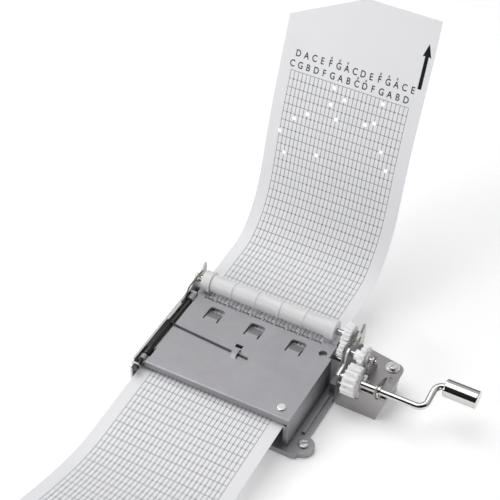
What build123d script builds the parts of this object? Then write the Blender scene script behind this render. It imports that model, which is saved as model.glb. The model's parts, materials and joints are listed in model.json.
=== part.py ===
from build123d import *
import os
from math import atan2, cos, degrees, hypot, pi, radians, sin, sqrt, tan

# Hand crank music box movement that plays a punched paper strip of 30 notes.
# Millimetres, +Z up.  X = 0 is the middle of the paper, +X points at the crank,
# Y = 0 is the front edge of the cover, +Y is the way the played paper leaves,
# and Z = 0 is the surface that the movement stands on.

# ---- paper -------------------------------------------------------------------
NOTES = 30
NOTE_PITCH = 2.0
PAPER_WIDTH = 70.0
PAPER_THICK = 0.25
PAPER_SLOPE = 2.9                     # degrees that the paper climbs to the rollers
PAPER_GAP = 0.1                       # air between paper and the guide plate
LEAD_SLANT = 17.0                     # how far the leading end's left half is cut back
PAPER_FRONT_BEND = -40.0              # the straight run ends here in front
PAPER_REAR_BEND = 86.0                # and here behind

# ---- sheet metal ---------------------------------------------------------------
SHEET = 1.0
BRACKET_SHEET = 0.8
FIT = 0.05                            # radial play of every running fit
SNUG = 0.02                           # radial play of a pin in a fixed plate

# ---- base casting ----------------------------------------------------------------
FLOOR_T = 3.0
BASE_LEFT, BASE_RIGHT = -38.0, 43.0
BASE_FRONT, BASE_REAR = -3.0, 60.0
EAR_FRONT = (43.1, 4.1)               # ear with a screw, front right
EAR_FRONT_R = 5.0
LEFT_EARS_X = -40.5                   # two open screw holes on the left
LEFT_EARS_Y = (20.0, 52.0)
LEFT_EAR_R = 4.0
MOUNT_HOLE_R = 1.6
SEAT_TOP = 7.2                        # the comb stands on this block
SEAT_Y = (8.0, 22.0)
WALL_X = (34.6, 36.2)                 # walls that carry the guide plate
WALL_Y = (1.0, 44.0)

# ---- side plates -------------------------------------------------------------------
LEFT_PLATE = (-37.6, -36.6)
LEFT_PLATE_FRONT = -4.0
LEFT_PLATE_TOP = 20.3
LEFT_FLANGE_X = -35.8                 # inner edge of the flange folded over at the top
LEFT_FLANGE_Y = (26.2, 38.0)
FLANGE_SHEET = 0.8
RIGHT_PLATE = (43.0, 44.0)
RIGHT_PLATE_FRONT = 34.7
RIGHT_PLATE_TOP = 17.8
PLATE_REAR = 60.0

# ---- crank and gears -----------------------------------------------------------------
CRANK_Y, CRANK_Z = 36.4, 16.3
CRANK_ROD_R = 1.6
CRANK_PIN_R = 0.9
CRANK_BEND_X = 83.6
CRANK_ARM = 13.9
CRANK_ARM_ANGLE = 10.7                # degrees above level, pointing back, at rest
CRANK_BEND_R = 4.0
KNOB_X = (87.4, 102.6)
KNOB_R = 4.15
ARM_Y = CRANK_Y + CRANK_ARM * cos(radians(CRANK_ARM_ANGLE))
ARM_Z = CRANK_Z + CRANK_ARM * sin(radians(CRANK_ARM_ANGLE))
PRESSURE_ANGLE = 20.0
DRIVE_MODULE = 0.9                    # crank gear and idler gear
ROLLER_MODULE = 0.6                   # idler pinion and roller gear
CRANK_TEETH, IDLER_TEETH = 14, 11
PINION_TEETH, ROLLER_TEETH = 10, 18
CRANK_GEAR_X = (47.0, 53.2)
IDLER_GEAR_X = (49.0, 51.6)
PINION_X = (38.7, 41.3)
ROLLER_GEAR_X = (37.4, 41.2)
IDLER_ANGLE = 28.2                    # degrees from the crank axis up to the idler
AXLE_R = 1.25

DRIVE_DISTANCE = DRIVE_MODULE * (CRANK_TEETH + IDLER_TEETH) / 2
IDLER_Y = CRANK_Y + DRIVE_DISTANCE * cos(radians(IDLER_ANGLE))
IDLER_Z = CRANK_Z + DRIVE_DISTANCE * sin(radians(IDLER_ANGLE))

# ---- rollers ---------------------------------------------------------------------------
ROLLER_Z = 22.0
ROLLER_DISTANCE = ROLLER_MODULE * (PINION_TEETH + ROLLER_TEETH) / 2
ROLLER_Y = IDLER_Y + sqrt(ROLLER_DISTANCE ** 2 - (ROLLER_Z - IDLER_Z) ** 2)
ROLLER_R = 4.1                        # smooth middle, clear of the paper
RIDGE_R = 4.4
FLANGE_R = 4.8                        # end rims that grip the paper's margins
FLANGE_LEN = 4.2
ROLLER_X = (-33.2, 33.2)
RIDGE_PITCH = 12.0
RIDGE_WIDTH = 0.6
ROLLER_SHAFT_R = 1.5
BUSH_R = 2.0
SUPPORT_R = 2.6                       # steel roller under the paper
NIP_PLAY = 0.07                       # air left between the paper and each roller
NIP_Z = ROLLER_Z - (FLANGE_R + NIP_PLAY + PAPER_THICK / 2) / cos(radians(PAPER_SLOPE))
SUPPORT_Z = NIP_Z - (SUPPORT_R + NIP_PLAY + PAPER_THICK / 2) / cos(radians(PAPER_SLOPE))
ROLLER_MESH = degrees(atan2(ROLLER_Z - IDLER_Z, ROLLER_Y - IDLER_Y))

# ---- star wheels and comb -----------------------------------------------------------------
STAR_Y, STAR_Z = 47.8, 13.1
STAR_TIP_R, STAR_ROOT_R = 3.2, 1.9
STAR_POINTS = 4
STAR_T = 0.9
STAR_HUB_R = 1.7
STAR_SHAFT_R = 1.0
COMB_TOP = 10.2
COMB_Y = (8.5, 46.1)
COMB_ROOT_T = COMB_TOP - SEAT_TOP
TOOTH_T = 1.1
TOOTH_SLIT = 0.4
SCREW_X = (-22.0, 0.0, 22.0)
COMB_SCREW_Y = 14.0
BASS_NOTES, BASS_DROP = 12, 2.6

# ---- cover ------------------------------------------------------------------------------------
COVER_LEFT, COVER_RIGHT = -32.7, 37.6
COVER_TOP = 19.0
COVER_REAR = 49.4
LIP_BOTTOM = 16.0
SKIRT_BOTTOM = 3.6
SKIRT_REAR = 41.0
COVER_HOLE, COVER_HOLE_R = (32.9, 42.0), 1.9
STRAP_X, STRAP_Y = (-2.0, 0.8), (20.4, 26.4)
STRAP_RISE, STRAP_SHEET = 1.5, 0.55
HINGE_X, HINGE_Z = -34.4, 18.7
HINGE_R = 1.0
KNUCKLE_R = 1.8
KNUCKLES_Y = ((0.4, 3.0), (42.4, 46.2))
HINGE_TABS_Y = (-4.0, 46.6)
HINGE_TAB_R = 1.45                    # the side plate's tabs round the hinge rod
TONGUE_PITCH = 20.5
TONGUE_Y = (35.6, 43.8)
TONGUE_W = 7.4
TONGUE_DROP, TONGUE_SHEET = 1.6, 0.6
WINDOWS = 10                          # groups of paper fingers at the rear edge
WINDOW_PITCH, WINDOW_W, WINDOW_Y = 6.0, 5.0, 46.8
FINGER_DROP, FINGER_SHEET, FINGER_SLIT = 1.4, 0.5, 0.9

# ---- gear bracket -----------------------------------------------------------------------------
BRACKET_TOP = 14.3
BRACKET_FRONT = 34.1
BRACKET_RIGHT = 66.6
BRACKET_FOOT_RIGHT = 63.0             # the front skirt narrows towards the table
BRACKET_REAR = (60.0, 56.4)           # at the side plate, and at the right edge
BRACKET_LIP = 2.0                     # right edge, folded down
BRACKET_SCREW = (61.6, 53.6)
BRACKET_CORNER_R = 3.8
GEAR_GAP_X, GEAR_GAP_REAR, GEAR_GAP_BOTTOM = (45.6, 54.4), 44.6, 8.4
EAR_SLOT = [(62.5, 48.2), (64.0, 48.0), (65.2, 45.0), (63.8, 44.6)]
CRANK_EAR_X = (61.2, 62.0)
IDLER_EAR_X = (54.6, 55.4)
COLLAR_R = 2.5

SCREW_HEAD_R, SCREW_HEAD_T, SCREW_R = 2.3, 1.2, 1.2
SIDE_SCREW_Z = 6.0
RIGHT_SCREW_Y, LEFT_SCREW_Y = 41.0, 30.0
RIVET = (31.3, 5.4)
RIVET_R, RIVET_SHANK_R = 2.0, 1.2
SPRING_WIRE_R = 0.4
COIL_START, COIL_TURNS = 4.1, 6
ARM_TURN_Y = 25.4                     # here the spring's arm turns across the cover


# ---- small helpers -----------------------------------------------------------------------------
def block(x0, x1, y0, y1, z0, z1):
    """A box between two corners."""
    size = Box(x1 - x0, y1 - y0, z1 - z0, align=(Align.MIN,) * 3)
    return Pos(x0, y0, z0) * size


def rod_x(y, z, r, x0, x1):
    """A round bar along X."""
    bar = Cylinder(r, x1 - x0, align=(Align.CENTER, Align.CENTER, Align.MIN))
    return Pos(x0, y, z) * Rot(0, 90, 0) * bar


def rod_y(x, z, r, y0, y1):
    """A round bar along Y."""
    bar = Cylinder(r, y1 - y0, align=(Align.CENTER, Align.CENTER, Align.MIN))
    return Pos(x, y0, z) * Rot(-90, 0, 0) * bar


def rod_z(x, y, r, z0, z1):
    """A round bar along Z."""
    bar = Cylinder(r, z1 - z0, align=(Align.CENTER, Align.CENTER, Align.MIN))
    return Pos(x, y, z0) * bar


def side_prism(points, x0, x1):
    """A side outline in Y and Z, extruded along X."""
    outline = make_face(Polyline(*points, close=True))
    return extrude(Plane.YZ.offset(x0) * outline, x1 - x0)


def top_prism(points, z0, z1):
    """A top outline in X and Y, extruded upwards."""
    outline = make_face(Polyline(*points, close=True))
    return extrude(Plane.XY.offset(z0) * outline, z1 - z0)


def wire(points, r, bend):
    """Bent wire: straight runs with one bend radius at every corner."""
    path = FilletPolyline(*points, radius=bend)
    return sweep(Plane(origin=path @ 0, z_dir=path % 0) * Circle(r), path)


def paper_z(y):
    """Height of the middle of the paper on its straight run."""
    return NIP_Z + (y - ROLLER_Y) * tan(radians(PAPER_SLOPE))


# ---- gears ---------------------------------------------------------------------------------------
def gear_points(teeth, module, tooth_angle, backlash=0.12, flank_points=5):
    """Involute outline in Y and Z about the origin, one tooth centred on tooth_angle."""
    pitch_r = module * teeth / 2
    tip_r = pitch_r + 0.9 * module
    root_r = pitch_r - 1.15 * module
    base_r = pitch_r * cos(radians(PRESSURE_ANGLE))

    def roll(r):
        turn = sqrt(max((r / base_r) ** 2 - 1, 0))
        return turn - atan2(turn, 1)

    half = pi / (2 * teeth) - backlash / (2 * pitch_r)
    start_r = max(base_r, root_r)
    points = []
    for k in range(teeth):
        middle = radians(tooth_angle) + 2 * pi * k / teeth
        flank = [start_r + (tip_r - start_r) * i / flank_points for i in range(flank_points + 1)]
        offsets = [(r, half + roll(pitch_r) - roll(r)) for r in flank]
        offsets.insert(0, (root_r, offsets[0][1]))
        points += [(r * cos(middle - a), r * sin(middle - a)) for r, a in offsets]
        points += [(r * cos(middle + a), r * sin(middle + a)) for r, a in reversed(offsets)]
    return points


def spur_gear(teeth, module, tooth_angle, y, z, x_range):
    points = [(y + u, z + v) for u, v in gear_points(teeth, module, tooth_angle)]
    return side_prism(points, *x_range)


def crank_gear():
    gear = spur_gear(CRANK_TEETH, DRIVE_MODULE, IDLER_ANGLE, CRANK_Y, CRANK_Z, CRANK_GEAR_X)
    x0, x1 = CRANK_GEAR_X
    gear += rod_x(CRANK_Y, CRANK_Z, 3.0, x0 - 0.9, x1 + 0.7)
    return gear - rod_x(CRANK_Y, CRANK_Z, CRANK_ROD_R, x0 - 2, x1 + 2)


def idler_gear():
    angle = IDLER_ANGLE + 180 + 180 / IDLER_TEETH
    gear = spur_gear(IDLER_TEETH, DRIVE_MODULE, angle, IDLER_Y, IDLER_Z, IDLER_GEAR_X)
    x0, x1 = IDLER_GEAR_X
    gear += rod_x(IDLER_Y, IDLER_Z, 2.4, x0 - 2.6, x1 + 1.2)
    return gear - rod_x(IDLER_Y, IDLER_Z, AXLE_R, x0 - 4, x1 + 4)


def idler_pinion():
    gear = spur_gear(PINION_TEETH, ROLLER_MODULE, ROLLER_MESH, IDLER_Y, IDLER_Z, PINION_X)
    return gear - rod_x(IDLER_Y, IDLER_Z, AXLE_R, PINION_X[0] - 1, PINION_X[1] + 1)


def idler_axle():
    return rod_x(IDLER_Y, IDLER_Z, AXLE_R, PINION_X[0] - 0.5, IDLER_EAR_X[1] + 1.0)


def roller_gear():
    angle = ROLLER_MESH + 180 + 180 / ROLLER_TEETH
    gear = spur_gear(ROLLER_TEETH, ROLLER_MODULE, angle, ROLLER_Y, ROLLER_Z, ROLLER_GEAR_X)
    return gear - rod_x(ROLLER_Y, ROLLER_Z, ROLLER_SHAFT_R, ROLLER_X[1], RIGHT_PLATE[0])


# ---- fixed frame ------------------------------------------------------------------------------------
def ear_web(centre, r, y_span, x_root, z0, z1):
    """A round ear joined to the plate by straight tangent sides."""
    ring = Pos(*centre) * Circle(r)
    root = Line((x_root, y_span[0]), (x_root, y_span[1]))
    outline = make_hull(ring.edges() + [root])
    return extrude(Plane.XY.offset(z0) * outline, z1 - z0)


def guide_underside(y):
    """Underside of the sheet that the paper slides on."""
    return paper_z(y) - PAPER_THICK / 2 - PAPER_GAP - SHEET


def base_casting():
    base = block(BASE_LEFT, BASE_RIGHT, BASE_FRONT, BASE_REAR, 0, FLOOR_T)
    base = fillet(base.edges().filter_by(Axis.Z), 2.0)
    base += ear_web(EAR_FRONT, EAR_FRONT_R, (BASE_FRONT, 12.0), 36.0, 0, FLOOR_T)
    for y in LEFT_EARS_Y:
        centre = (LEFT_EARS_X, y)
        base += ear_web(centre, LEFT_EAR_R, (y - 6, y + 6), BASE_LEFT + 1, 0, FLOOR_T)
        base -= rod_z(*centre, MOUNT_HOLE_R, -1, FLOOR_T + 1)
    base += block(-33, 33, *SEAT_Y, FLOOR_T, SEAT_TOP)
    for side in (-1, 1):
        x0, x1 = sorted((side * WALL_X[0], side * WALL_X[1]))
        y0, y1 = WALL_Y
        profile = [(y0, FLOOR_T), (y1, FLOOR_T), (y1, guide_underside(y1)), (y0, guide_underside(y0))]
        base += side_prism(profile, x0, x1)
    base += block(39.4, BASE_RIGHT, 36.5, 45.5, FLOOR_T, 9.0)
    base += block(39.6, 41.2, 9.5, 34.0, FLOOR_T, FLOOR_T + 1.2)
    base -= rod_z(*EAR_FRONT, SCREW_R, -1, FLOOR_T + 1)
    for x in SCREW_X:
        base -= rod_z(x, COMB_SCREW_Y, SCREW_R, FLOOR_T - 1, SEAT_TOP + 1)
    base -= rod_x(RIGHT_SCREW_Y, SIDE_SCREW_Z, SCREW_R, 39.0, BASE_RIGHT + 1)
    base -= rod_x(LEFT_SCREW_Y, SIDE_SCREW_Z, SCREW_R, -40, -33)
    return base


def roller_slot(x0, x1):
    """Open slot for a roller bush, round at the bottom."""
    r = BUSH_R + SNUG
    slot = rod_x(ROLLER_Y, ROLLER_Z, r, x0 - 1, x1 + 1)
    return slot + block(x0 - 1, x1 + 1, ROLLER_Y - r, ROLLER_Y + r, ROLLER_Z, ROLLER_Z + 8)


def shaft_holes(x0, x1):
    """Holes of the star shaft and of the support roller."""
    holes = rod_x(STAR_Y, STAR_Z, STAR_SHAFT_R + SNUG, x0 - 1, x1 + 1)
    return holes + rod_x(ROLLER_Y, SUPPORT_Z, AXLE_R + FIT, x0 - 1, x1 + 1)


def horn_points():
    """Top of a side plate round the roller, ending in the pointed rear tip."""
    return [
        (ROLLER_Y - 4.6, ROLLER_Z + 0.6),
        (ROLLER_Y + 3.4, ROLLER_Z + 0.6),
        (ROLLER_Y + 6.6, ROLLER_Z + 3.6),
        (ROLLER_Y + 7.6, ROLLER_Z + 3.0),
        (ROLLER_Y + 7.2, ROLLER_Z - 5.0),
        (PLATE_REAR, 9.0),
    ]


def left_side_plate():
    x0, x1 = LEFT_PLATE
    front, top = LEFT_PLATE_FRONT, LEFT_PLATE_TOP
    profile = [(front + 3, FLOOR_T), (front, 9.0), (front, top - 3), (front + 2, top), (44.0, top)]
    profile += horn_points() + [(PLATE_REAR, FLOOR_T)]
    plate = side_prism(profile, x0, x1)
    for y0 in HINGE_TABS_Y:
        plate += rod_y(HINGE_X, HINGE_Z, HINGE_TAB_R, y0, y0 + SHEET)
        plate += block(x1 - 0.1, HINGE_X, y0, y0 + SHEET, HINGE_Z - HINGE_TAB_R, HINGE_Z + HINGE_TAB_R)
    plate += block(x1 - 0.1, LEFT_FLANGE_X, *LEFT_FLANGE_Y, top - FLANGE_SHEET, top)
    plate -= rod_y(HINGE_X, HINGE_Z, HINGE_R + SNUG, front - 1, 49)
    plate -= roller_slot(x0, x1)
    plate -= shaft_holes(x0, x1)
    return plate - rod_x(LEFT_SCREW_Y, SIDE_SCREW_Z, SCREW_R + SNUG, x0 - 1, x1 + 1)


def right_side_plate():
    x0, x1 = RIGHT_PLATE
    top = RIGHT_PLATE_TOP
    profile = [(RIGHT_PLATE_FRONT, 0), (RIGHT_PLATE_FRONT, top), (41.0, top + 1.2)]
    profile += [(43.6, IDLER_Z + 2.2), (45.5, IDLER_Z + 3.0)] + horn_points() + [(PLATE_REAR, 0)]
    plate = side_prism(profile, x0, x1)
    plate -= roller_slot(x0, x1)
    plate -= shaft_holes(x0, x1)
    plate -= rod_x(IDLER_Y, IDLER_Z, AXLE_R + FIT, x0 - 1, x1 + 1)
    plate -= rod_x(CRANK_Y, CRANK_Z, CRANK_PIN_R + FIT, x0 - 1, x1 + 1)
    return plate - rod_x(RIGHT_SCREW_Y, SIDE_SCREW_Z, SCREW_R + SNUG, x0 - 1, x1 + 1)


def bearing_ear(y, z, r, hole_r, foot, x_range):
    """An ear lanced up from the bracket's top: a ring on a foot that spans foot[0]..foot[1]."""
    ring = Pos(y, z) * Circle(r)
    root = Line((foot[0], BRACKET_TOP - 0.4), (foot[1], BRACKET_TOP - 0.4))
    outline = make_hull(ring.edges() + [root])
    ear = extrude(Plane.YZ.offset(x_range[0]) * outline, x_range[1] - x_range[0])
    return ear - rod_x(y, z, hole_r, x_range[0] - 1, x_range[1] + 1)


def gear_bracket():
    """Deck on a front skirt, with two bearing ears lanced up and a screw at the far corner."""
    t = BRACKET_SHEET
    left, right = RIGHT_PLATE[1], BRACKET_RIGHT
    under = BRACKET_TOP - t
    front = [(left, BRACKET_FRONT), (right, BRACKET_FRONT)]
    rear = [(right, BRACKET_REAR[1]), (left, BRACKET_REAR[0])]
    deck = top_prism(front + rear, under, BRACKET_TOP)
    lip_bottom = BRACKET_TOP - BRACKET_LIP
    deck += block(right - t, right, BRACKET_FRONT, BRACKET_SCREW[1] - 4, lip_bottom, BRACKET_TOP)
    corner = deck.edges().filter_by(Axis.Z).sort_by_distance((right, BRACKET_REAR[1], BRACKET_TOP))[0]
    deck = fillet(corner, BRACKET_CORNER_R)
    foot = [(left, 0), (BRACKET_FOOT_RIGHT, 0)]
    head = [(right, lip_bottom), (right, BRACKET_TOP), (left, BRACKET_TOP)]
    skirt = make_face(Polyline(*foot, *head, close=True))
    deck += extrude(Plane.XZ.offset(-BRACKET_FRONT) * skirt, -t)
    fold = deck.edges().filter_by(Axis.X).sort_by_distance((55, BRACKET_FRONT, BRACKET_TOP))[0]
    deck = fillet(fold, 0.7)
    deck -= block(*GEAR_GAP_X, BRACKET_FRONT - 1, GEAR_GAP_REAR, GEAR_GAP_BOTTOM, BRACKET_TOP + 1)
    deck -= top_prism(EAR_SLOT, under - 1, BRACKET_TOP + 1)
    ear = CRANK_EAR_X[1]
    deck -= block(ear, ear + 1.6, BRACKET_FRONT - 1, CRANK_Y + COLLAR_R + 0.4, under - 0.3, BRACKET_TOP + 1)
    deck += bearing_ear(CRANK_Y, CRANK_Z, 2.7, CRANK_ROD_R + FIT, (CRANK_Y, 47.6), CRANK_EAR_X)
    deck += bearing_ear(IDLER_Y, IDLER_Z, 2.6, AXLE_R + FIT, (41.6, 51.0), IDLER_EAR_X)
    return deck - rod_z(*BRACKET_SCREW, SCREW_R + SNUG, under - 1, BRACKET_TOP + 1)


def bracket_standoff():
    post = rod_z(*BRACKET_SCREW, 3.0, 0, BRACKET_TOP - BRACKET_SHEET)
    return post - rod_z(*BRACKET_SCREW, SCREW_R, 6.0, BRACKET_TOP)


def bracket_washer():
    washer = rod_z(*BRACKET_SCREW, 3.2, BRACKET_TOP, BRACKET_TOP + 0.5)
    return washer - rod_z(*BRACKET_SCREW, SCREW_R + SNUG, BRACKET_TOP - 1, BRACKET_TOP + 1)


def pan_screw(length):
    """Pan head screw standing on Z = 0, its shank below, with a straight slot."""
    head = Cylinder(SCREW_HEAD_R, SCREW_HEAD_T, align=(Align.CENTER, Align.CENTER, Align.MIN))
    head = fillet(head.edges().group_by(Axis.Z)[-1], 0.5)
    slot = Pos(0, 0, SCREW_HEAD_T) * Box(2 * SCREW_HEAD_R + 1, 0.6, 1.0)
    shank = Pos(0, 0, -length) * Cylinder(
        SCREW_R - SNUG, length, align=(Align.CENTER, Align.CENTER, Align.MIN))
    return (head - slot) + shank


def screws():
    """Every pan head screw of the movement, each a separate solid."""
    turned = [Pos(*EAR_FRONT, FLOOR_T) * Rot(0, 0, 35) * pan_screw(2.9)]
    turned += [Pos(*BRACKET_SCREW, BRACKET_TOP + 0.5) * Rot(0, 0, 70) * pan_screw(7.0)]
    turned += [Pos(x, COMB_SCREW_Y, COMB_TOP) * Rot(0, 0, 50 * x) * pan_screw(6.5) for x in SCREW_X]
    turned += [Pos(RIGHT_PLATE[1], RIGHT_SCREW_Y, SIDE_SCREW_Z) * Rot(0, 90, 20) * pan_screw(4.0)]
    turned += [Pos(LEFT_PLATE[0], LEFT_SCREW_Y, SIDE_SCREW_Z) * Rot(0, -90, 40) * pan_screw(2.4)]
    return Compound(children=[screw.solid() for screw in turned])


def guide_plate():
    """Sheet under the paper, slit at its rear for the star wheels."""
    y0, y1 = 0.6, 51.0
    under = guide_underside
    profile = [(y0, under(y0)), (y1, under(y1)), (y1, under(y1) + SHEET), (y0, under(y0) + SHEET)]
    plate = side_prism(profile, -WALL_X[1], WALL_X[1])
    for x in note_positions():
        plate -= block(x - 0.65, x + 0.65, 44.3, y1 + 1, 10, 20)
    return plate


def hinge_rod():
    rod = rod_y(HINGE_X, HINGE_Z, HINGE_R, LEFT_PLATE_FRONT - 0.8, 48.4)
    return rod + rod_y(HINGE_X, HINGE_Z, 1.6, LEFT_PLATE_FRONT - 1.4, LEFT_PLATE_FRONT)


def roller_bushes():
    ends = []
    left = (LEFT_PLATE[0] - 0.4, LEFT_PLATE[1] + 0.8)
    right = (RIGHT_PLATE[0] - 0.9, RIGHT_PLATE[1] + 0.4)
    for x0, x1 in (left, right):
        bush = rod_x(ROLLER_Y, ROLLER_Z, BUSH_R, x0, x1)
        ends.append((bush - rod_x(ROLLER_Y, ROLLER_Z, ROLLER_SHAFT_R + FIT, x0 - 1, x1 + 1)).solid())
    return Compound(children=ends)


def roller_springs():
    """A wire on each side that hooks over the front of a bush and presses it down."""
    wires = []
    for x in (LEFT_PLATE[1] + 0.5, RIGHT_PLATE[0] - 0.5):
        over = ROLLER_Z + BUSH_R + SPRING_WIRE_R + 0.05
        points = [(x, ROLLER_Y + 2.6, over - 0.4), (x, ROLLER_Y - 1.0, over + 0.1),
                  (x, IDLER_Y - 1.3, over - 0.2), (x, 38.6, 18.4), (x, 35.4, 17.0)]
        wires.append(wire(points, SPRING_WIRE_R, 0.9).solid())
    return Compound(children=wires)


# ---- sounding parts --------------------------------------------------------------------------------
def note_positions():
    return [NOTE_PITCH * (i - (NOTES - 1) / 2) for i in range(NOTES)]


def tooth_root(x):
    """Teeth are longest for the low notes on the left."""
    return 27.5 + 7.0 * (x + 30) / 60


def comb():
    half = NOTES * NOTE_PITCH / 2
    plate = block(-half, half, COMB_Y[0], COMB_Y[1], COMB_TOP - TOOTH_T, COMB_TOP)
    plate += top_prism(
        [(-half, COMB_Y[0]), (half, COMB_Y[0]), (half, tooth_root(half)), (-half, tooth_root(-half))],
        SEAT_TOP, COMB_TOP)
    for i in range(1, NOTES):
        x = i * NOTE_PITCH - half
        plate -= block(x - TOOTH_SLIT / 2, x + TOOTH_SLIT / 2, tooth_root(x) - 1.5, COMB_Y[1] + 1, 6, 12)
    for x in SCREW_X:
        plate -= rod_z(x, COMB_SCREW_Y, SCREW_R + SNUG, 6, 12)
    return plate


def bass_weights():
    """Lead weights under the tips of the lowest notes, shorter note by note."""
    weights = []
    for i, x in enumerate(note_positions()[:BASS_NOTES]):
        drop = BASS_DROP - 0.15 * i
        top = COMB_TOP - TOOTH_T
        weights.append(block(x - 0.75, x + 0.75, 41.5, 44.5, top - drop, top).solid())
    return Compound(children=weights)


def star_shaft():
    return rod_x(STAR_Y, STAR_Z, STAR_SHAFT_R, LEFT_PLATE[0], RIGHT_PLATE[1])


def star_wheel(x):
    points = []
    for k in range(STAR_POINTS):
        tip = radians(45 + 360 * k / STAR_POINTS)
        valley = radians(45 + 360 * (k + 0.5) / STAR_POINTS)
        side = 0.09
        points += [(STAR_TIP_R * cos(tip - side), STAR_TIP_R * sin(tip - side))]
        points += [(STAR_TIP_R * cos(tip + side), STAR_TIP_R * sin(tip + side))]
        points += [(STAR_ROOT_R * cos(valley), STAR_ROOT_R * sin(valley))]
    points = [(STAR_Y + u, STAR_Z + v) for u, v in points]
    wheel = side_prism(points, x - STAR_T / 2, x + STAR_T / 2)
    wheel += rod_x(STAR_Y, STAR_Z, STAR_HUB_R, x - 0.95, x + 0.95)
    return wheel - rod_x(STAR_Y, STAR_Z, STAR_SHAFT_R + FIT, x - 2, x + 2)


# ---- rollers ------------------------------------------------------------------------------------------
def roller_sleeve():
    x0, x1 = ROLLER_X
    sleeve = rod_x(ROLLER_Y, ROLLER_Z, ROLLER_R, x0, x1)
    for k in (-1.5, -0.5, 0.5, 1.5):
        x = k * RIDGE_PITCH
        sleeve += rod_x(ROLLER_Y, ROLLER_Z, RIDGE_R, x - RIDGE_WIDTH / 2, x + RIDGE_WIDTH / 2)
    sleeve += rod_x(ROLLER_Y, ROLLER_Z, FLANGE_R, x0, x0 + FLANGE_LEN)
    sleeve += rod_x(ROLLER_Y, ROLLER_Z, FLANGE_R, x1 - FLANGE_LEN, x1)
    return sleeve - rod_x(ROLLER_Y, ROLLER_Z, ROLLER_SHAFT_R, x0 - 1, x1 + 1)


def roller_shaft():
    return rod_x(ROLLER_Y, ROLLER_Z, ROLLER_SHAFT_R, LEFT_PLATE[0], RIGHT_PLATE[1])


def support_roller():
    roller = rod_x(ROLLER_Y, SUPPORT_Z, SUPPORT_R, -34.5, 34.5)
    return roller + rod_x(ROLLER_Y, SUPPORT_Z, AXLE_R, LEFT_PLATE[0], RIGHT_PLATE[1])


# ---- crank ----------------------------------------------------------------------------------------------
def crank_rod():
    points = [
        (CRANK_GEAR_X[0] - 2.0, CRANK_Y, CRANK_Z),
        (CRANK_BEND_X, CRANK_Y, CRANK_Z),
        (CRANK_BEND_X, ARM_Y, ARM_Z),
        (KNOB_X[1] - 1.5, ARM_Y, ARM_Z),
    ]
    rod = wire(points, CRANK_ROD_R, CRANK_BEND_R)
    return rod + rod_x(CRANK_Y, CRANK_Z, CRANK_PIN_R, RIGHT_PLATE[0], CRANK_GEAR_X[0])


def crank_collar():
    """Ring pressed on the rod beside the bearing ear."""
    x0 = CRANK_EAR_X[1] + 0.3
    ring = rod_x(CRANK_Y, CRANK_Z, COLLAR_R, x0, x0 + 1.0)
    return ring - rod_x(CRANK_Y, CRANK_Z, CRANK_ROD_R, x0 - 1, x0 + 2)


def crank_knob():
    x0, x1 = KNOB_X
    knob = rod_x(ARM_Y, ARM_Z, KNOB_R, x0, x1)
    knob = fillet(knob.edges(), 0.5)
    return knob - rod_x(ARM_Y, ARM_Z, CRANK_ROD_R + FIT, x0 - 1, x1 - 1.2)


# ---- cover ----------------------------------------------------------------------------------
def tongue(x):
    """Tongue that slopes down out of the cover to steady the paper."""
    y0, y1 = TONGUE_Y
    bend, tip = y0 + 1.9, y1 - 1.4
    top, low, t = COVER_TOP, COVER_TOP - TONGUE_DROP, TONGUE_SHEET
    upper = [(y0 - 0.3, top), (bend, top), (tip, low)]
    lower = [(tip, low - t), (bend - 0.1, top - t), (y0 - 0.3, top - t)]
    half = TONGUE_W / 2 - 0.7
    return side_prism(upper + lower, x - half, x + half)


def tongue_slit(x):
    y0, y1 = TONGUE_Y
    half = TONGUE_W / 2
    slit = block(x - half, x + half, y0, y1, COVER_TOP - 3, COVER_TOP + 1)
    return fillet(slit.edges().filter_by(Axis.Z).group_by(Axis.Y)[-1], 1.6)


def finger_window(x):
    """Opening at the rear edge for one group of paper fingers."""
    half = WINDOW_W / 2
    return block(x - half, x + half, WINDOW_Y, COVER_REAR + 1, COVER_TOP - SHEET - 1, COVER_TOP + 1)


def fingers(x):
    """Fingers that slope down to the paper, slit at the notes so that the star wheels pass."""
    half = WINDOW_W / 2 - 0.3
    top, t, tip = COVER_TOP, FINGER_SHEET, COVER_REAR - 0.2
    upper = [(WINDOW_Y - 0.3, top), (WINDOW_Y + 0.3, top), (tip, top - FINGER_DROP)]
    lower = [(tip, top - FINGER_DROP - t), (WINDOW_Y + 0.1, top - t), (WINDOW_Y - 0.3, top - t)]
    group = side_prism(upper + lower, x - half, x + half)
    for note in (-NOTE_PITCH, 0, NOTE_PITCH):
        slit = block(-FINGER_SLIT / 2, FINGER_SLIT / 2, WINDOW_Y + 1.0, COVER_REAR + 1, top - 4, top + 1)
        group -= Pos(x + note, 0, 0) * slit
    return group


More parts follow.
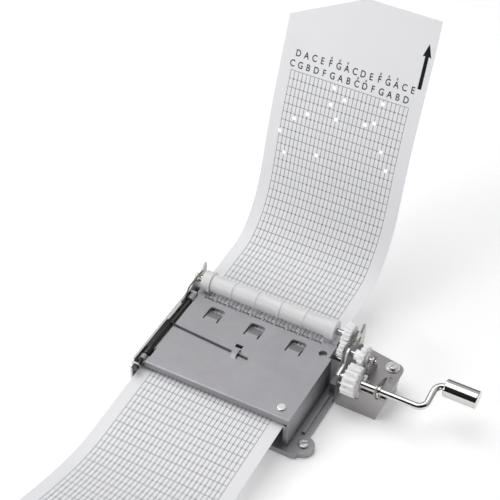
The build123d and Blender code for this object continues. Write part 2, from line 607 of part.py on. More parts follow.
def cover_plate():
    top, under = COVER_TOP, COVER_TOP - SHEET
    plate = block(COVER_LEFT, COVER_RIGHT, 0, SKIRT_REAR, under, top)
    plate += block(COVER_LEFT, COVER_RIGHT - 1.2, SKIRT_REAR, COVER_REAR, under, top)
    plate -= block(COVER_LEFT - 1, COVER_LEFT + 0.6, COIL_START - 0.6, COIL_START + 5.0, under - 1, top + 1)
    plate += block(COVER_LEFT, COVER_RIGHT, 0, SHEET, LIP_BOTTOM, top)
    plate += block(COVER_RIGHT - SHEET, COVER_RIGHT, 0, SKIRT_REAR, SKIRT_BOTTOM, top)
    front = plate.edges().filter_by(Axis.X).group_by(Axis.Y)[0].sort_by(Axis.Z)[-1]
    plate = fillet(front, 0.6)
    for k in (-1, 0, 1):
        x = k * TONGUE_PITCH + 0.3
        plate -= tongue_slit(x)
        plate += tongue(x)
    for k in range(WINDOWS):
        x = (k - (WINDOWS - 1) / 2) * WINDOW_PITCH
        plate -= finger_window(x)
        plate += fingers(x)
    plate -= block(*STRAP_X, STRAP_Y[0] + 0.6, STRAP_Y[1] - 0.6, under - 1, top + 1)
    slot_y = STRAP_Y[1] + 0.6
    plate -= block(STRAP_X[0] - 0.9, STRAP_X[1] - 0.3, slot_y, slot_y + 2.0, under - 1, top + 1)
    plate += strap()
    plate -= rod_z(*COVER_HOLE, COVER_HOLE_R, under - 1, top + 1)
    for y0, y1 in KNUCKLES_Y:
        plate += rod_y(HINGE_X, HINGE_Z, KNUCKLE_R, y0, y1)
        plate += block(HINGE_X + 0.4, COVER_LEFT + 0.2, y0, y1, under, top)
        plate -= rod_y(HINGE_X, HINGE_Z, HINGE_R + FIT, y0 - 0.1, y1 + 0.1)
    return plate - rod_z(*RIVET, RIVET_SHANK_R + SNUG, under - 1, top + 1)


def strap():
    """Bridge lanced up from the cover, over the end of the spring wire."""
    y0, y1 = STRAP_Y
    foot, top, crown = COVER_TOP - 0.5, COVER_TOP, COVER_TOP + STRAP_RISE
    inner = crown - STRAP_SHEET
    outside = [(y0, foot), (y0, top), (y0 + 1.2, crown), (y1 - 1.2, crown), (y1, top), (y1, foot)]
    inside = [(y1 - 0.5, foot), (y1 - 1.5, inner), (y0 + 1.5, inner), (y0 + 0.5, foot)]
    return side_prism(outside + inside, *STRAP_X)


def cover_rivet():
    head = rod_z(*RIVET, RIVET_R, COVER_TOP, COVER_TOP + 0.7)
    head = fillet(head.edges().group_by(Axis.Z)[-1], 0.4)
    return head + rod_z(*RIVET, RIVET_SHANK_R, COVER_TOP - SHEET - 0.4, COVER_TOP)


def cover_spring():
    """Torsion spring: close coil round the hinge rod and a long arm across the cover."""
    r = HINGE_R + FIT + 0.1 + SPRING_WIRE_R
    pitch = 1.85 * SPRING_WIRE_R
    turn = Rot(90, 0, 0) * Torus(r, SPRING_WIRE_R)
    places = [Pos(HINGE_X, COIL_START + i * pitch, HINGE_Z) for i in range(COIL_TURNS)]
    coil = places[0] * turn
    for place in places[1:]:
        coil += place * turn
    last = COIL_START + (COIL_TURNS - 1) * pitch
    lift = COVER_TOP + SPRING_WIRE_R + 0.05
    arm = [
        (HINGE_X, last, HINGE_Z + r),
        (HINGE_X, ARM_TURN_Y, HINGE_Z + r),
        (HINGE_X + 3.9, ARM_TURN_Y - 0.2, lift),
        (STRAP_X[1] + 4.8, ARM_TURN_Y - 2.5, lift),
    ]
    return coil + wire(arm, SPRING_WIRE_R, 1.2)


# ---- paper strip ----------------------------------------------------------------------------------------
def paper_profile():
    """Middle line of the strip in Y and Z: curled front, straight run, rising leading end."""
    slope = (cos(radians(PAPER_SLOPE)), sin(radians(PAPER_SLOPE)))
    front = (PAPER_FRONT_BEND, paper_z(PAPER_FRONT_BEND))
    rear = (PAPER_REAR_BEND, paper_z(PAPER_REAR_BEND))
    curl = Spline((-98, 26.2), (-76, 18.3), front, tangents=[(1, -0.42), slope])
    run = Line(front, rear)
    rise = Spline(rear, (104.4, 31.5), (114.6, 60), (127.5, 100), (139.3, 136),
                  tangents=[slope, (0.22, 1.0)])
    return curl, run, rise


def paper_strip():
    curl, run, rise = paper_profile()
    path = Plane.YZ * Wire([curl, run, rise])
    start = Plane(origin=path @ 0, x_dir=(1, 0, 0), z_dir=path % 0)
    strip = sweep(start * Rectangle(PAPER_WIDTH, PAPER_THICK), path)
    end = Plane(origin=path @ 1, x_dir=(1, 0, 0), z_dir=Vector(1, 0, 0).cross(path % 1))
    half = PAPER_WIDTH / 2
    offcut = Polyline((-half, -LEAD_SLANT), (0, 0), (0, 1), (-half, 1), close=True)
    return strip - extrude(end * make_face(offcut), 4, both=True)


# ---- every node -----------------------------------------------------------------------------------------
parts = {
    "base_casting": base_casting(),
    "left_side_plate": left_side_plate(),
    "right_side_plate": right_side_plate(),
    "gear_bracket": gear_bracket(),
    "bracket_standoff": bracket_standoff(),
    "bracket_washer": bracket_washer(),
    "screws": screws(),
    "guide_plate": guide_plate(),
    "hinge_rod": hinge_rod(),
    "roller_bushes": roller_bushes(),
    "roller_springs": roller_springs(),
    "comb": comb(),
    "bass_weights": bass_weights(),
    "star_shaft": star_shaft(),
    "roller_sleeve": roller_sleeve(),
    "roller_shaft": roller_shaft(),
    "roller_gear": roller_gear(),
    "support_roller": support_roller(),
    "idler_gear": idler_gear(),
    "idler_axle": idler_axle(),
    "idler_pinion": idler_pinion(),
    "crank_rod": crank_rod(),
    "crank_gear": crank_gear(),
    "crank_collar": crank_collar(),
    "crank_knob": crank_knob(),
    "cover_plate": cover_plate(),
    "cover_rivet": cover_rivet(),
    "cover_spring": cover_spring(),
    "paper_strip": paper_strip(),
}
for number, x in enumerate(note_positions(), start=1):
    parts[f"star_wheel_{number:02d}"] = star_wheel(x)

os.makedirs("parts", exist_ok=True)
for name, shape in parts.items():
    export_step(shape, f"parts/{name}.step")
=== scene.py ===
"""Looks of the hand crank music box: finishes, the printed and punched strip, light and camera.

Lengths are metres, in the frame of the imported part: X = 0 is the middle of the paper, +X points at
the crank, +Y is the way the strip leaves and the movement stands on Z = 0.  The strip is worked out
in millimetres, because its print is measured from its top line, and turned into metres at the end.
"""

import json
from math import cos, pi, radians, sin

import bmesh
import bpy
import numpy as np
from mathutils import Matrix, Vector


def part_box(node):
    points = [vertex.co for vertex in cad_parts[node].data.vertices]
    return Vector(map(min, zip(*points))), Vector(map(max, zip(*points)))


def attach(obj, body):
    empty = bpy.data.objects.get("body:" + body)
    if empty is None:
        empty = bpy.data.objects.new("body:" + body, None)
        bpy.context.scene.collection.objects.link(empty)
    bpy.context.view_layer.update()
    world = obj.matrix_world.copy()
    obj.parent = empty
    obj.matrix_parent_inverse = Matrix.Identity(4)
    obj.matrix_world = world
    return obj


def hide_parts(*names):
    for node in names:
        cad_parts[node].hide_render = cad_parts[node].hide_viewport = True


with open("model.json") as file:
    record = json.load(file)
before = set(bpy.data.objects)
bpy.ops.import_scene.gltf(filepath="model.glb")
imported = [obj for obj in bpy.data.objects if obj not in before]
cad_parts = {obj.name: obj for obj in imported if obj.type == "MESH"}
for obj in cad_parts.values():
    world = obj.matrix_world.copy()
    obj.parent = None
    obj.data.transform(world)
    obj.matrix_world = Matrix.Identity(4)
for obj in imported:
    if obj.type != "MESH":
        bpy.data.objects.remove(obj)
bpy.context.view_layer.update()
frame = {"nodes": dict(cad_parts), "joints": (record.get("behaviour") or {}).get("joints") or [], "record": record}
MM = 0.001

# ---- camera ------------------------------------------------------------------------------------
AZIMUTH, ELEVATION, ROLL = 26.93, 42.67, 1.746       # degrees; azimuth 0 looks along +Y
TARGET = Vector((-30.83, 93.98, 10.0)) * MM
DISTANCE = 725 * MM
LENS, SENSOR = 109.3, 36.0                           # millimetres, as Blender counts them

# ---- paper strip, in millimetres ------------------------------------------------------------------
NOTES = 30
NOTE_PITCH = 2.0
ROW_PITCH = 4.0                                      # from a solid line to the next dashed one
THICKNESS = 0.25
FRONT_BEND, REAR_BEND = -40.0, 86.0                  # Y where the flat run ends
CURL = [(-98.0, 26.2), (-76.0, 18.3)]                # front end, curling up off the table
CURL_START = (1.0, -0.42)
RISE = [(104.4, 31.5), (114.6, 60.0), (127.5, 100.0), (139.3, 136.0)]
RISE_END = (0.22, 1.0)
LEAD_SLANT = 17.0                                    # how far the leading end's left half is cut back
TOP_LINE = 91.8                                      # from the rear bend, along the paper
HOLE_R = 0.95
HOLE_POINTS = 24
# (note, millimetres below the top line) of each punched hole
PUNCHED = [(12, 2), (15, 6), (12, 10), (24, 2), (7, 18), (4, 22), (14, 16), (21, 14), (23, 12),
           (1, 30), (3, 40), (11, 36), (26, 24), (28, 32)]
LOWER_NAMES = "C G B D F G A B C# D# F G A B D".split()
UPPER_NAMES = "D A C E F# G# A# C D E F# G# A# C E".split()
LOWER_HEIGHT, UPPER_HEIGHT = 3.2, 8.4                # letter centres above the top line
CAP_HEIGHT = 3.2
LETTER_WIDTH = 0.8                                   # of the font's own
STROKE_SWELL = 0.012                                 # makes the letters bolder, in the font's units
SHARP_RISE, SHARP_SIZE = 0.8, 0.4                    # of the letters' height and size
INK_DEPTH = 0.03                                     # above and below the paper's surface
ARROW_X, ARROW_FOOT, ARROW_TIP = 31.6, 9.6, 30.6
ARROW_SHAFT, ARROW_HEAD, ARROW_HEAD_LENGTH = 1.7, 4.0, 5.3


# ---- small helpers for node trees ----------------------------------------------------------------
def link_or_set(tree, socket, value):
    """Joins a node's output to the socket, or writes a plain number or colour into it."""
    if isinstance(value, bpy.types.NodeSocket):
        tree.links.new(value, socket)
    elif isinstance(value, (tuple, list)) and len(value) == 3 and socket.type == "RGBA":
        socket.default_value = (*value, 1.0)
    else:
        socket.default_value = value


def add(tree, kind, settings=None, **inputs):
    """A new node with its settings and inputs; an underscore in an input's name stands for a space."""
    made = tree.nodes.new(kind)
    for name, value in (settings or {}).items():
        setattr(made, name, value)
    for name, value in inputs.items():
        link_or_set(tree, made.inputs[name.replace("_", " ")], value)
    return made


def maths(tree, operation, *values, clamp=False):
    made = tree.nodes.new("ShaderNodeMath")
    made.operation = operation
    made.use_clamp = clamp
    for socket, value in zip(made.inputs, values):
        link_or_set(tree, socket, value)
    return made.outputs[0]


def remap(tree, value, low, high, to_low=0.0, to_high=1.0):
    """Straight change of range, clamped at both ends."""
    made = tree.nodes.new("ShaderNodeMapRange")
    for socket, number in zip(made.inputs, (value, low, high, to_low, to_high)):
        link_or_set(tree, socket, number)
    return made.outputs[0]


def mix(tree, share, first, second):
    """Colour between first and second."""
    made = tree.nodes.new("ShaderNodeMix")
    made.data_type = "RGBA"
    sockets = [made.inputs[0], made.inputs[6], made.inputs[7]]
    for socket, value in zip(sockets, (share, first, second)):
        link_or_set(tree, socket, value)
    return made.outputs[2]


def noise(tree, size, stretch=(1.0, 1.0, 1.0), detail=2.0, distortion=0.0):
    """Noise whose patches are about size metres wide, drawn out along an axis where stretch is large."""
    place = add(tree, "ShaderNodeTexCoord")
    scaled = add(tree, "ShaderNodeMapping", Vector=place.outputs["Object"],
                 Scale=tuple(1 / (size * s) for s in stretch))
    made = add(tree, "ShaderNodeTexNoise", Vector=scaled.outputs[0], Scale=1.0,
               Detail=detail, Distortion=distortion)
    return made.outputs["Fac"]


def edge_mask(tree, radius):
    """1 on the edges, 0 on the flats: how far the rounded normal turns from the real one."""
    rounded = add(tree, "ShaderNodeBevel", {"samples": 6}, Radius=radius)
    facts = add(tree, "ShaderNodeNewGeometry")
    both = add(tree, "ShaderNodeVectorMath", {"operation": "DOT_PRODUCT"})
    tree.links.new(rounded.outputs[0], both.inputs[0])
    tree.links.new(facts.outputs["Normal"], both.inputs[1])
    return remap(tree, both.outputs["Value"], 0.995, 0.8), rounded.outputs[0]


def blank(name):
    """A material with only its output and its shader."""
    made = bpy.data.materials.new(name)
    made.use_nodes = True
    tree = made.node_tree
    return made, tree, tree.nodes["Principled BSDF"]


def bump(tree, height, depth, normal=None):
    made = add(tree, "ShaderNodeBump", Strength=1.0, Distance=depth, Height=height)
    if normal is not None:
        tree.links.new(normal, made.inputs["Normal"])
    return made.outputs[0]


# ---- materials -------------------------------------------------------------------------------------
def metal(name, colour, roughness, cloud=0.08, brush=None, grain=0.0, edge=0.1 * MM, wear=1.12):
    """Bare or plated metal: cloudy tone, brushing or cast grain, and brighter worn edges."""
    made, tree, shader = blank(name)
    patches = noise(tree, 14 * MM, detail=4.0, distortion=0.6)
    smudges = noise(tree, 3.5 * MM, detail=3.0)
    tone = maths(tree, "MULTIPLY_ADD", patches, cloud * 2, 1 - cloud)
    tone = maths(tree, "MULTIPLY_ADD", smudges, cloud * 0.6, tone)
    if brush:
        lines = noise(tree, 0.22 * MM, stretch=brush, detail=2.0)
    else:
        lines = noise(tree, 0.5 * MM, detail=3.0)
    tone = maths(tree, "MULTIPLY_ADD", lines, 0.12, tone)
    worn, rounded = edge_mask(tree, edge)
    tone = maths(tree, "MULTIPLY_ADD", worn, wear - 1, tone)
    shade = add(tree, "ShaderNodeVectorMath", {"operation": "SCALE"})
    shade.inputs[0].default_value = colour
    tree.links.new(tone, shade.inputs["Scale"])
    tree.links.new(shade.outputs[0], shader.inputs["Base Color"])
    rough = maths(tree, "MULTIPLY_ADD", smudges, roughness * 0.5, roughness * 0.6)
    rough = maths(tree, "MULTIPLY_ADD", lines, roughness * 0.3, rough)
    link_or_set(tree, shader.inputs["Roughness"], rough)
    shader.inputs["Metallic"].default_value = 1.0
    depth = (0.004 + grain) * MM
    link_or_set(tree, shader.inputs["Normal"], bump(tree, lines, depth, rounded))
    return made


def chrome(name):
    """Polished plating with hairline scratches and a faint haze."""
    made, tree, shader = blank(name)
    haze = noise(tree, 5 * MM, detail=4.0)
    hairs = noise(tree, 0.12 * MM, stretch=(30.0, 1.0, 1.0), detail=1.0)
    tone = mix(tree, haze, (0.60, 0.59, 0.58), (0.68, 0.67, 0.66))
    tree.links.new(tone, shader.inputs["Base Color"])
    rough = maths(tree, "MULTIPLY_ADD", haze, 0.05, 0.045)
    link_or_set(tree, shader.inputs["Roughness"], maths(tree, "MULTIPLY_ADD", hairs, 0.03, rough))
    shader.inputs["Metallic"].default_value = 1.0
    rounded = edge_mask(tree, 0.2 * MM)[1]
    link_or_set(tree, shader.inputs["Normal"], bump(tree, hairs, 0.0006 * MM, rounded))
    return made


def plastic(name, colour, roughness, glow):
    """Moulded plastic: faint flow marks, a little light inside, softened edges."""
    made, tree, shader = blank(name)
    flow = noise(tree, 4 * MM, stretch=(1.0, 1.0, 2.5), detail=3.0, distortion=1.0)
    skin = noise(tree, 0.25 * MM, detail=2.0)
    darker = tuple(0.93 * c for c in colour)
    tree.links.new(mix(tree, flow, darker, colour), shader.inputs["Base Color"])
    rough = maths(tree, "MULTIPLY_ADD", flow, 0.12, roughness - 0.06)
    link_or_set(tree, shader.inputs["Roughness"], rough)
    shader.inputs["Subsurface Weight"].default_value = glow
    shader.inputs["Subsurface Radius"].default_value = (1.0, 1.0, 1.0)
    shader.inputs["Subsurface Scale"].default_value = 1.2 * MM
    rounded = edge_mask(tree, 0.15 * MM)[1]
    link_or_set(tree, shader.inputs["Normal"], bump(tree, skin, 0.002 * MM, rounded))
    return made


def milky_plastic(name):
    """Natural nylon tube: clouded and only a little clear, with fine turning marks."""
    made, tree, shader = blank(name)
    cloud = noise(tree, 6 * MM, stretch=(2.5, 1.0, 1.0), detail=4.0, distortion=0.8)
    turning = noise(tree, 0.3 * MM, stretch=(1.0, 20.0, 20.0), detail=2.0)
    tree.links.new(mix(tree, cloud, (0.90, 0.90, 0.93), (0.99, 0.99, 1.0)), shader.inputs["Base Color"])
    rough = maths(tree, "MULTIPLY_ADD", cloud, 0.15, 0.28)
    link_or_set(tree, shader.inputs["Roughness"], rough)
    shader.inputs["IOR"].default_value = 1.5
    shader.inputs["Transmission Weight"].default_value = 0.22
    shader.inputs["Subsurface Weight"].default_value = 0.5
    shader.inputs["Subsurface Radius"].default_value = (1.0, 1.0, 1.0)
    shader.inputs["Subsurface Scale"].default_value = 2.0 * MM
    link_or_set(tree, shader.inputs["Normal"], bump(tree, turning, 0.003 * MM))
    return made


def paper_base(tree):
    """Colour and height of the bare card: long fibres and faint clouds."""
    cloud = noise(tree, 22 * MM, detail=3.0)
    fibres = noise(tree, 0.3 * MM, stretch=(1.0, 4.0, 4.0), detail=3.0)
    tone = mix(tree, cloud, (0.86, 0.86, 0.885), (0.90, 0.90, 0.92))
    tone = mix(tree, maths(tree, "MULTIPLY", fibres, 0.12), tone, (0.70, 0.70, 0.74))
    return tone, fibres


def matt_card(tree, shader, fibres):
    shader.inputs["Roughness"].default_value = 0.75
    shader.inputs["Specular IOR Level"].default_value = 0.25
    link_or_set(tree, shader.inputs["Normal"], bump(tree, fibres, 0.008 * MM))


def plain_paper(name):
    made, tree, shader = blank(name)
    tone, fibres = paper_base(tree)
    tree.links.new(tone, shader.inputs["Base Color"])
    matt_card(tree, shader, fibres)
    return made


def line_mask(tree, distance, width):
    """1 on a printed line, fading out over a little ink spread; distance and width in millimetres."""
    return remap(tree, distance, width / 2 + 0.05, width / 2 - 0.05)


def printed_paper(name):
    """The card with its grid: a line for every note, and a row every 4 mm, solid and dashed in turn."""
    made, tree, shader = blank(name)
    tone, fibres = paper_base(tree)
    flat = add(tree, "ShaderNodeUVMap", {"uv_map": "flat_mm"})
    split = add(tree, "ShaderNodeSeparateXYZ", Vector=flat.outputs[0])
    across, down = split.outputs[0], split.outputs[1]
    half = (NOTES - 1) * NOTE_PITCH / 2
    from_left = maths(tree, "ADD", across, half)
    to_note = maths(tree, "PINGPONG", from_left, NOTE_PITCH / 2)
    to_solid = maths(tree, "PINGPONG", down, ROW_PITCH)
    to_dashed = maths(tree, "SUBTRACT", ROW_PITCH, to_solid)
    notes = line_mask(tree, to_note, 0.24)
    solid = line_mask(tree, to_solid, 0.24)
    dash = remap(tree, to_note, 0.75, 0.65)
    dashed = maths(tree, "MULTIPLY", line_mask(tree, to_dashed, 0.34), dash)
    ink = maths(tree, "MAXIMUM", notes, maths(tree, "MAXIMUM", solid, dashed))
    off_side = maths(tree, "ABSOLUTE", across)
    inside = maths(tree, "MULTIPLY", remap(tree, off_side, half + 0.15, half + 0.05),
                   remap(tree, down, -0.15, -0.05))
    patchy = remap(tree, noise(tree, 1.5 * MM), 0.3, 0.7, 0.8, 1.0)
    ink = maths(tree, "MULTIPLY", maths(tree, "MULTIPLY", ink, inside), patchy)
    tree.links.new(mix(tree, ink, tone, (0.02, 0.02, 0.03)), shader.inputs["Base Color"])
    matt_card(tree, shader, fibres)
    return made


def black_ink(name):
    made, tree, shader = blank(name)
    patchy = noise(tree, 0.4 * MM, detail=3.0)
    tone = mix(tree, patchy, (0.004, 0.004, 0.005), (0.015, 0.015, 0.017))
    tree.links.new(tone, shader.inputs["Base Color"])
    link_or_set(tree, shader.inputs["Roughness"], maths(tree, "MULTIPLY_ADD", patchy, 0.2, 0.6))
    shader.inputs["Specular IOR Level"].default_value = 0.15
    return made


# ---- paper strip -----------------------------------------------------------------------------------
def smooth_curve(points, start, end, steps=60):
    """Cubic spline through the points, leaving along start and arriving along end, as many short runs."""
    points = np.array(points, float)
    gaps = np.linalg.norm(np.diff(points, axis=0), axis=1)
    count = len(points)
    known, wanted = np.eye(count), np.zeros((count, 2))
    wanted[0] = np.array(start) / np.linalg.norm(start)
    wanted[-1] = np.array(end) / np.linalg.norm(end)
    for k in range(1, count - 1):
        before, after = gaps[k - 1], gaps[k]
        known[k, k - 1:k + 2] = after, 2 * (before + after), before
        wanted[k] = 3 * after / before * (points[k] - points[k - 1])
        wanted[k] += 3 * before / after * (points[k + 1] - points[k])
    slopes = np.linalg.solve(known, wanted)
    line = []
    for k, gap in enumerate(gaps):
        t = np.linspace(0, 1, steps, endpoint=False)[:, None]
        blend = 3 * t ** 2 - 2 * t ** 3
        leaving, arriving = t ** 3 - 2 * t ** 2 + t, t ** 3 - t ** 2
        part = (1 - blend) * points[k] + blend * points[k + 1]
        line.append(part + gap * (leaving * slopes[k] + arriving * slopes[k + 1]))
    return np.vstack(line + [points[-1:]])


class StripPath:
    """Middle line of the strip in Y and Z, in millimetres, found by the distance along the paper."""

    def __init__(self):
        axis = next(j["axis"] for j in frame["joints"] if j["name"] == "paper_feed")
        slope = np.array(axis[1:])
        roller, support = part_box("roller_sleeve"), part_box("support_roller")
        nip_y = (roller[0].y + roller[1].y) / 2 / MM
        nip_z = (roller[0].z + support[1].z) / 2 / MM
        front, rear = [(y, nip_z + (y - nip_y) * slope[1] / slope[0]) for y in (FRONT_BEND, REAR_BEND)]
        curl = smooth_curve(CURL + [front], CURL_START, slope)
        rise = smooth_curve([rear] + RISE, slope, RISE_END)
        run = np.linspace(front, rear, 80)[1:-1]
        self.line = np.vstack([curl, run, rise])
        steps = np.linalg.norm(np.diff(self.line, axis=0), axis=1)
        self.at = np.concatenate([[0], np.cumsum(steps)])
        self.length = self.at[-1]
        self.top_line = self.length - np.linalg.norm(np.diff(rise, axis=0), axis=1).sum() + TOP_LINE

    def point(self, x, s, lift=0.0):
        """A point of the flat strip (across, along) in the frame, in metres; lift is towards the print."""
        reach = 0.5
        here = [np.interp(s, self.at, self.line[:, k]) for k in (0, 1)]
        ahead = [np.interp(min(s + reach, self.length), self.at, self.line[:, k]) for k in (0, 1)]
        back = [np.interp(max(s - reach, 0), self.at, self.line[:, k]) for k in (0, 1)]
        run = np.subtract(ahead, back)
        run /= np.linalg.norm(run)
        y, z = here[0] - lift * run[1], here[1] + lift * run[0]
        return Vector((x, y, z)) * MM


def mesh_piece(name, vertices, faces, *materials):
    data = bpy.data.meshes.new(name)
    data.from_pydata(vertices, [], faces)
    data.validate()
    for material in materials:
        data.materials.append(material)
    made = bpy.data.objects.new(name, data)
    bpy.context.scene.collection.objects.link(made)
    return made


def flat_strip(path, half):
    """The strip cut flat, in millimetres: 2 mm cells, each punched one a ring round its hole."""
    edge = NOTES * NOTE_PITCH / 2
    xs = [-half, -(half + edge) / 2, *np.arange(-edge, edge + 0.1, NOTE_PITCH), (half + edge) / 2, half]
    above = np.arange(path.top_line + 1, path.length - 0.5, NOTE_PITCH)
    below = np.arange(path.top_line - 1, 0.5, -NOTE_PITCH)
    rows = [0.0, *below[::-1], *above, path.length]
    vertices = [(x, s) for s in rows for x in xs]
    first_row = len(below)                            # the row of cells on the top line
    punched = {(note + 1, first_row - round(down / NOTE_PITCH)) for note, down in PUNCHED}
    faces = []
    for j in range(len(rows) - 1):
        for i in range(len(xs) - 1):
            a = j * len(xs) + i
            corners = [a, a + 1, a + 1 + len(xs), a + len(xs)]
            if (i, j) in punched:
                faces += ring(vertices, corners)
            else:
                faces.append(corners)
    return vertices, faces


def ring(vertices, corners):
    """Faces between a cell's square and the round hole in its middle, one for each side of the cell."""
    middle = np.mean([vertices[c] for c in corners], axis=0)
    first = len(vertices)
    for k in range(HOLE_POINTS):
        turn = 2 * pi * k / HOLE_POINTS - 3 * pi / 4
        vertices.append((middle[0] + HOLE_R * cos(turn), middle[1] + HOLE_R * sin(turn)))
    quarter = HOLE_POINTS // 4
    faces = []
    for side in range(4):
        arc = [first + (side * quarter + k) % HOLE_POINTS for k in range(quarter + 1)]
        faces.append([corners[side], corners[(side + 1) % 4], *arc[::-1]])
    return faces


def cut_lead(vertices, faces, path, half):
    """The leading end's left half, cut back on a slant."""
    cut = bmesh.new()
    made = [cut.verts.new((x, s, 0)) for x, s in vertices]
    for face in faces:
        cut.faces.new([made[k] for k in face])
    everything = cut.verts[:] + cut.edges[:] + cut.faces[:]
    away = Vector((-LEAD_SLANT, half, 0))
    tip = (0, path.length, 0)
    bmesh.ops.bisect_plane(cut, geom=everything, plane_co=tip, plane_no=away, clear_outer=True)
    cut.verts.index_update()
    flat = [(v.co.x, v.co.y) for v in cut.verts]
    kept = [[v.index for v in f.verts] for f in cut.faces]
    cut.free()
    return flat, kept


def face_edges(data, face):
    return [data.loops[k].edge_index for k in face.loop_indices]


def paper_strip(path, half, materials):
    flat, faces = cut_lead(*flat_strip(path, half), path, half)
    strip = mesh_piece("paper_strip_printed", [path.point(x, s) for x, s in flat], faces, *materials)
    layer = strip.data.uv_layers.new(name="flat_mm")
    for loop in strip.data.loops:
        x, s = flat[loop.vertex_index]
        layer.data[loop.index].uv = (x, path.top_line - s)
    for face in strip.data.polygons:
        face.use_smooth = True
    borders = np.bincount([k for face in strip.data.polygons for k in face_edges(strip.data, face)])
    for edge in strip.data.edges:
        edge.use_edge_sharp = bool(borders[edge.index] == 1)
    shell = strip.modifiers.new("thickness", "SOLIDIFY")
    shell.thickness = THICKNESS * MM
    shell.offset = 0.0
    shell.material_offset = 1
    shell.material_offset_rim = 1
    return strip


def glyph(character):
    """Points and faces of a letter as a thin solid in the font's units, centred on its own middle."""
    curve = bpy.data.curves.new("letter", "FONT")
    curve.body = character
    curve.extrude = 0.01
    curve.offset = STROKE_SWELL
    holder = bpy.data.objects.new("letter", curve)
    data = bpy.data.meshes.new_from_object(holder)
    points = np.array([v.co for v in data.vertices])
    points[:, :2] -= (points[:, :2].min(0) + points[:, :2].max(0)) / 2
    faces = [list(p.vertices) for p in data.polygons]
    bpy.data.objects.remove(holder)
    bpy.data.curves.remove(curve)
    bpy.data.meshes.remove(data)
    return points, faces


def note_names(path, ink):
    """Two rows of letters over the grid's lines, each line's own note."""
    letters = {mark: glyph(mark) for mark in sorted(set("".join(LOWER_NAMES + UPPER_NAMES)))}
    scale = CAP_HEIGHT / np.ptp(letters["E"][0][:, 1])
    marks = []
    rows = ((LOWER_NAMES, 0, LOWER_HEIGHT), (UPPER_NAMES, 1, UPPER_HEIGHT))
    for names, offset, up in rows:
        for k, name in enumerate(names):
            x = (2 * k + offset - (NOTES - 1) / 2) * NOTE_PITCH
            marks.append((name[0], x, up, scale))
            if len(name) > 1:
                marks.append((name[1], x, up + SHARP_RISE * CAP_HEIGHT, scale * SHARP_SIZE))
    vertices, faces = [], []
    for character, x, up, size in marks:
        points, shape = letters[character]
        first = len(vertices)
        for dx, ds, lift in points * size:
            side = THICKNESS / 2 + (INK_DEPTH if lift > 0 else -INK_DEPTH)
            vertices.append(path.point(x + LETTER_WIDTH * dx, path.top_line + up + ds, side))
        faces += [[first + k for k in face] for face in shape]
    return mesh_piece("printed_note_names", vertices, faces, ink)


def arrow(path, ink):
    """The arrow that shows which end goes in first."""
    shaft, head, neck = ARROW_SHAFT / 2, ARROW_HEAD / 2, ARROW_TIP - ARROW_HEAD_LENGTH
    right = [(shaft, ARROW_FOOT), (shaft, (ARROW_FOOT + neck) / 2), (shaft, neck - 0.5), (head, neck - 0.9)]
    outline = right + [(0, ARROW_TIP)] + [(-x, s) for x, s in right[::-1]]
    vertices = []
    for lift in (INK_DEPTH, -INK_DEPTH):
        for x, s in outline:
            vertices.append(path.point(ARROW_X + x, path.top_line + s, THICKNESS / 2 + lift))
    n = len(outline)
    strips = [[0, 1, n - 2, n - 1], [1, 2, n - 3, n - 2], [2, 3, 4, n - 4, n - 3]]
    faces = strips + [[k + n for k in reversed(face)] for face in strips]
    faces += [[k, k + n, (k + 1) % n + n, (k + 1) % n] for k in range(n)]
    return mesh_piece("printed_arrow", vertices, faces, ink)


# ---- stage -----------------------------------------------------------------------------------------
def view_direction():
    a, e = radians(AZIMUTH), radians(ELEVATION)
    return Vector((-sin(a) * cos(e), cos(a) * cos(e), -sin(e)))


def pale_floor():
    """White floor just under the movement; a little glow keeps its far corners from greying."""
    size, below = 4.0, -0.02 * MM
    corners = [(-size, -size, below), (size, -size, below), (size, size, below), (-size, size, below)]
    surface, tree, shader = blank("studio_floor")
    shader.inputs["Base Color"].default_value = (0.99, 0.99, 0.99, 1)
    shader.inputs["Roughness"].default_value = 0.9
    shader.inputs["Specular IOR Level"].default_value = 0.0
    shader.inputs["Emission Color"].default_value = (1, 1, 1, 1)
    shader.inputs["Emission Strength"].default_value = 0.22
    mesh_piece("studio_floor", corners, [[0, 1, 2, 3]], surface)


def grey_by_height(tree, up):
    """The room's brightness: a dark band low down, white above."""
    ramp = add(tree, "ShaderNodeValToRGB", Fac=up)
    stops = ((0.0, 0.75), (0.03, 0.04), (0.30, 0.05), (0.40, 0.80), (1.0, 1.0))
    bands = ramp.color_ramp.elements
    while len(bands) < len(stops):
        bands.new(1.0)
    for band, (where, grey) in zip(bands, stops):
        band.position = where
        band.color = (grey, grey, grey, 1)
    return ramp.outputs[0]


def unlit_front(tree, across, forth, up):
    """Nearly 0 on a wide strip along X at the viewer's height: bars along X get a dark middle from it."""
    towards = -view_direction()
    level, lifted = Vector((towards.y, towards.z)).normalized()
    facing = maths(tree, "MULTIPLY_ADD", up, lifted, maths(tree, "MULTIPLY", forth, level))
    squared = maths(tree, "MULTIPLY", across, across)
    side_on = maths(tree, "SQRT", maths(tree, "SUBTRACT", 1.0, squared))
    return remap(tree, maths(tree, "DIVIDE", facing, side_on), 0.86, 0.78, 0.04, 1.0)


def room():
    """Soft white room with its dark parts; looked at directly it is plain white."""
    made = bpy.data.worlds.new("studio")
    made.use_nodes = True
    bpy.context.scene.world = made
    tree = made.node_tree
    ways = add(tree, "ShaderNodeTexCoord").outputs["Generated"]
    across, forth, up = add(tree, "ShaderNodeSeparateXYZ", Vector=ways).outputs
    lit = unlit_front(tree, across, forth, up)
    room_light = mix(tree, lit, (0.0, 0.0, 0.0), grey_by_height(tree, up))
    sight = add(tree, "ShaderNodeLightPath").outputs["Is Camera Ray"]
    shown = mix(tree, sight, room_light, (2.0, 2.0, 2.0))
    tree.links.new(shown, tree.nodes["Background"].inputs["Color"])
    tree.nodes["Background"].inputs["Strength"].default_value = 0.70


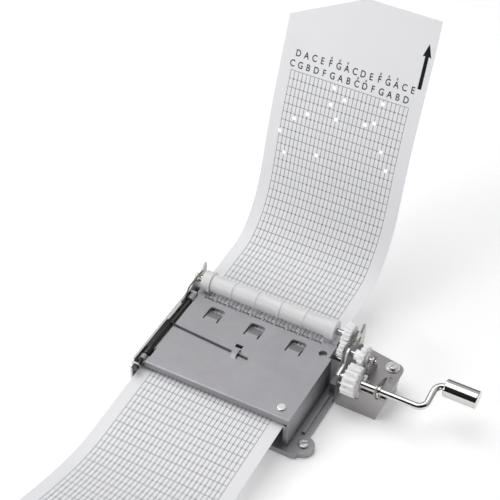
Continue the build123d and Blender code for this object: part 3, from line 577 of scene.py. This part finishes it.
def soft_light(name, place, width, power):
    """Square area light aimed at the movement."""
    light = bpy.data.lights.new(name, "AREA")
    light.size = width
    light.energy = power
    lamp = bpy.data.objects.new(name, light)
    lamp.location = place
    aim = Vector((0, 30 * MM, 0)) - lamp.location
    lamp.rotation_euler = aim.to_track_quat("-Z", "Y").to_euler()
    bpy.context.scene.collection.objects.link(lamp)


def camera():
    """The viewing angle of the photograph."""
    a, r = radians(AZIMUTH), radians(ROLL)
    forward = view_direction()
    level = Vector((cos(a), sin(a), 0))
    upward = level.cross(forward)
    right = level * cos(r) + upward * sin(r)
    top = upward * cos(r) - level * sin(r)
    seen = bpy.data.cameras.new("camera")
    seen.lens = LENS
    seen.sensor_width = SENSOR
    seen.clip_start = 0.01
    holder = bpy.data.objects.new("camera", seen)
    turn = Matrix((right, top, -forward)).transposed().to_4x4()
    holder.matrix_world = Matrix.Translation(TARGET - forward * DISTANCE) @ turn
    bpy.context.scene.collection.objects.link(holder)
    bpy.context.scene.camera = holder


# ---- putting it together ---------------------------------------------------------------------------
def finishes():
    """Every material slot of the record with its procedural finish."""
    along_x, along_y = (70.0, 1.0, 1.0), (1.0, 70.0, 1.0)
    turned = (1.0, 8.0, 8.0)
    return {
        "zinc_casting": metal("zinc_casting", (0.34, 0.34, 0.35), 0.52, cloud=0.12, grain=0.02),
        "plate_steel": metal("plate_steel", (0.52, 0.51, 0.52), 0.42, brush=along_y),
        "cover_steel": metal("cover_steel", (0.35, 0.343, 0.36), 0.50, cloud=0.12, brush=along_x),
        "bracket_steel": metal("bracket_steel", (0.34, 0.33, 0.33), 0.34, brush=along_y),
        "rivet_steel": metal("rivet_steel", (0.85, 0.85, 0.86), 0.22),
        "screw_steel": metal("screw_steel", (0.70, 0.70, 0.71), 0.26),
        "comb_steel": metal("comb_steel", (0.42, 0.43, 0.45), 0.30, brush=along_y),
        "lead": metal("lead", (0.22, 0.22, 0.24), 0.60, cloud=0.2, grain=0.02),
        "shaft_steel": metal("shaft_steel", (0.42, 0.42, 0.43), 0.22, brush=turned),
        "star_steel": metal("star_steel", (0.45, 0.45, 0.46), 0.30),
        "dark_wire": metal("dark_wire", (0.07, 0.067, 0.065), 0.40, edge=0.1 * MM),
        "spring_wire": metal("spring_wire", (0.22, 0.215, 0.21), 0.5, edge=0.1 * MM),
        "chrome": chrome("chrome"),
        "white_plastic": plastic("white_plastic", (0.97, 0.97, 0.97), 0.38, 0.6),
        "milky_plastic": milky_plastic("milky_plastic"),
        "cream_plastic": plastic("cream_plastic", (0.82, 0.79, 0.68), 0.42, 0.25),
    }


def dress_nodes():
    """Gives every CAD node the finish of its slot."""
    looks = finishes()
    for part in frame["record"]["subparts"]:
        node, slot = frame["nodes"][part["node"]], part["material_slot"]
        if slot not in looks:
            continue
        for holder in node.material_slots:
            holder.material = looks[slot]


def dress_paper():
    """The printed, punched strip in place of the CAD node, with its letters and arrow."""
    path = StripPath()
    low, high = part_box("paper_strip")
    half = (high.x - low.x) / 2 / MM
    strip = paper_strip(path, half, [printed_paper("printed_paper"), plain_paper("plain_paper")])
    ink = black_ink("black_ink")
    marks = [note_names(path, ink), arrow(path, ink)]
    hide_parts("paper_strip")
    for piece in [strip, *marks]:
        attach(piece, "paper")


camera()
pale_floor()
room()
soft_light("overhead", place=(-0.35, 0.05, 0.9), width=0.9, power=5.0)
soft_light("front_left", place=(-0.55, -0.75, 0.40), width=0.5, power=4.6)
dress_nodes()
dress_paper()
bpy.context.scene.view_settings.view_transform = "Standard"

bpy.context.view_layer.update()
